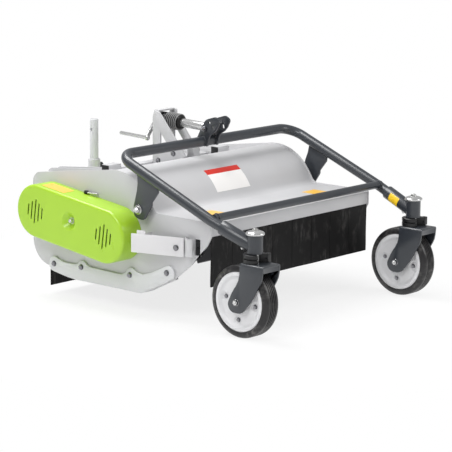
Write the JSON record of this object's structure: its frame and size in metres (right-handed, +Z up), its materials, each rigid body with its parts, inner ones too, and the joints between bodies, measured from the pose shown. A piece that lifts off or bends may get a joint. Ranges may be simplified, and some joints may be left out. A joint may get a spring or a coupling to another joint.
{
  "type": "tractor mulcher",
  "caption": "Flail mulcher for a compact tractor: sheet steel hood, belt-driven hammer rotor, skids, three-point hitch and a castor-wheel frame set by a screw link.",
  "frame": {"origin": "on the ground under the middle of the machine", "axes": "+Z up, +Y from the castor wheels towards the tractor, +X to the machine's right as seen from the wheels, away from the belt guard"},
  "size_m": [1.1174, 1.3256, 0.712],
  "materials": {
    "body_paint": "light grey satin powder coat",
    "skid_paint": "pale grey satin powder coat",
    "bumper_paint": "pale grey satin powder coat",
    "frame_paint": "dark grey semi-gloss powder coat",
    "green_paint": "lime green semi-gloss paint",
    "rubber_sheet": "matt black sheet",
    "belt_rubber": "matt black",
    "bellows_rubber": "satin black",
    "tyre_rubber": "matt dark grey solid rubber",
    "rim_plastic": "white satin moulding",
    "black_plastic": "black moulding",
    "zinc_plate": "bright zinc plate",
    "machined_steel": "bare steel",
    "cast_iron": "black paint over cast or rolled steel"
  },
  "bodies": {
    "housing": {"hood": "body_paint", "side_plate_left": "body_paint", "side_plate_right": "body_paint", "skid_left": "skid_paint", "skid_right": "skid_paint", "front_curtain": "rubber_sheet", "rear_curtain": "rubber_sheet", "gearbox": "body_paint", "input_shield": "black_plastic", "shaft_cover": "green_paint", "belt_guard": "green_paint", "guard_nut": "zinc_plate", "guard_bumper": "bumper_paint", "drive_belt": "belt_rubber", "hitch_beam": "body_paint", "hitch_left": "body_paint", "hitch_right": "body_paint", "headstock_plate": "body_paint", "headstock_upright": "body_paint", "stand_sleeve": "body_paint", "rotor_bearing_left": "cast_iron", "rotor_bearing_right": "cast_iron", "pivot_pin_left": "zinc_plate", "pivot_pin_right": "zinc_plate"},
    "wheel_frame": {"frame_tube": "frame_paint", "cross_bar": "frame_paint", "pivot_bracket_left": "frame_paint", "pivot_bracket_right": "frame_paint", "link_lug_left": "frame_paint", "link_lug_right": "frame_paint", "frame_foot_left": "frame_paint", "frame_foot_right": "frame_paint"},
    "link": {"link_housing": "cast_iron", "link_bellows": "bellows_rubber"},
    "link_slider": {"link_tube": "zinc_plate"},
    "crank": {"crank": "zinc_plate"},
    "rotor": {"rotor": "cast_iron", "driven_pulley": "machined_steel"},
    "cross_shaft": {"cross_shaft": "machined_steel"},
    "input_shaft": {"input_shaft": "machined_steel"},
    "stand_leg": {"stand_leg": "skid_paint"},
    "stand_lock": {"stand_lock": "cast_iron"},
    "castor_left": {"castor_fork_left": "frame_paint", "castor_spindle_left": "zinc_plate", "castor_clip_left": "black_plastic"},
    "wheel_left": {"castor_rim_left": "rim_plastic", "castor_tyre_left": "tyre_rubber"},
    "castor_right": {"castor_fork_right": "frame_paint", "castor_spindle_right": "zinc_plate", "castor_clip_right": "black_plastic"},
    "wheel_right": {"castor_rim_right": "rim_plastic", "castor_tyre_right": "tyre_rubber"},
    "flail_1": {"flail_1": "machined_steel"},
    "flail_2": {"flail_2": "machined_steel"},
    "flail_3": {"flail_3": "machined_steel"},
    "flail_4": {"flail_4": "machined_steel"},
    "flail_5": {"flail_5": "machined_steel"},
    "flail_6": {"flail_6": "machined_steel"},
    "flail_7": {"flail_7": "machined_steel"},
    "flail_8": {"flail_8": "machined_steel"}
  },
  "joints": [
    {"name": "frame_lift", "type": "hinge", "parent": "housing", "child": "wheel_frame", "pos_m": [0.02065, -0.01125, 0.41], "axis": [-1, 0, 0], "range_deg": [0, 8]},
    {"name": "link_tilt", "type": "hinge", "parent": "housing", "child": "link", "pos_m": [0.02065, 0.32975, 0.6695], "axis": [1, 0, 0], "range_deg": [0, 4.3]},
    {"name": "link_slide", "type": "slide", "parent": "link", "child": "link_slider", "axis": [0, 0.9993, 0.0375], "range_m": [0, 0.0335], "deforming": ["link_bellows"]},
    {"name": "crank_turn", "type": "hinge", "parent": "link", "child": "crank", "pos_m": [0.02065, 0.32975, 0.6695], "axis": [0, 0.9993, 0.0375], "continuous": true},
    {"name": "rotor_spin", "type": "hinge", "parent": "housing", "child": "rotor", "pos_m": [0.02065, 0.10775, 0.285], "axis": [1, 0, 0], "continuous": true},
    {"name": "cross_shaft_spin", "type": "hinge", "parent": "housing", "child": "cross_shaft", "pos_m": [0.02065, 0.47275, 0.343], "axis": [1, 0, 0], "continuous": true},
    {"name": "input_shaft_spin", "type": "hinge", "parent": "housing", "child": "input_shaft", "pos_m": [0.02065, 0.47275, 0.343], "axis": [0, 1, 0], "continuous": true},
    {"name": "stand_slide", "type": "slide", "parent": "housing", "child": "stand_leg", "axis": [0, 0, 1], "range_m": [-0.153, 0]},
    {"name": "stand_lock_turn", "type": "hinge", "parent": "housing", "child": "stand_lock", "pos_m": [-0.08535, 0.62275, 0.458], "axis": [1, 0, 0], "continuous": true},
    {"name": "swivel_left", "type": "hinge", "parent": "wheel_frame", "child": "castor_left", "pos_m": [-0.45935, -0.57225, 0.3175], "axis": [0, 0, 1], "continuous": true},
    {"name": "wheel_spin_left", "type": "hinge", "parent": "castor_left", "child": "wheel_left", "pos_m": [-0.45935, -0.52625, 0.1365], "axis": [1, 0, 0], "continuous": true},
    {"name": "swivel_right", "type": "hinge", "parent": "wheel_frame", "child": "castor_right", "pos_m": [0.50065, -0.57225, 0.3175], "axis": [0, 0, 1], "continuous": true},
    {"name": "wheel_spin_right", "type": "hinge", "parent": "castor_right", "child": "wheel_right", "pos_m": [0.50065, -0.52625, 0.1365], "axis": [1, 0, 0], "continuous": true},
    {"name": "flail_1_swing", "type": "hinge", "parent": "rotor", "child": "flail_1", "pos_m": [-0.36435, 0.16432, 0.22843], "axis": [1, 0, 0], "range_deg": [-55, 145]},
    {"name": "flail_2_swing", "type": "hinge", "parent": "rotor", "child": "flail_2", "pos_m": [-0.25435, 0.05118, 0.34157], "axis": [1, 0, 0], "range_deg": [-200, 0]},
    {"name": "flail_3_swing", "type": "hinge", "parent": "rotor", "child": "flail_3", "pos_m": [-0.14435, 0.16432, 0.34157], "axis": [1, 0, 0], "range_deg": [0, 200]},
    {"name": "flail_4_swing", "type": "hinge", "parent": "rotor", "child": "flail_4", "pos_m": [-0.03435, 0.05118, 0.22843], "axis": [1, 0, 0], "range_deg": [-145, 55]},
    {"name": "flail_5_swing", "type": "hinge", "parent": "rotor", "child": "flail_5", "pos_m": [0.07565, 0.16432, 0.22843], "axis": [1, 0, 0], "range_deg": [-55, 145]},
    {"name": "flail_6_swing", "type": "hinge", "parent": "rotor", "child": "flail_6", "pos_m": [0.18565, 0.05118, 0.34157], "axis": [1, 0, 0], "range_deg": [-200, 0]},
    {"name": "flail_7_swing", "type": "hinge", "parent": "rotor", "child": "flail_7", "pos_m": [0.29565, 0.16432, 0.34157], "axis": [1, 0, 0], "range_deg": [0, 200]},
    {"name": "flail_8_swing", "type": "hinge", "parent": "rotor", "child": "flail_8", "pos_m": [0.40565, 0.05118, 0.22843], "axis": [1, 0, 0], "range_deg": [-145, 55]}
  ],
  "couplings": [
    {"joint": "link_tilt", "follows": "frame_lift", "ratio": 0.51855},
    {"joint": "link_slide", "follows": "frame_lift", "m_per_rad": 0.2348},
    {"joint": "cross_shaft_spin", "follows": "rotor_spin", "ratio": 0.8},
    {"joint": "input_shaft_spin", "follows": "rotor_spin", "ratio": 0.26667}
  ]
}
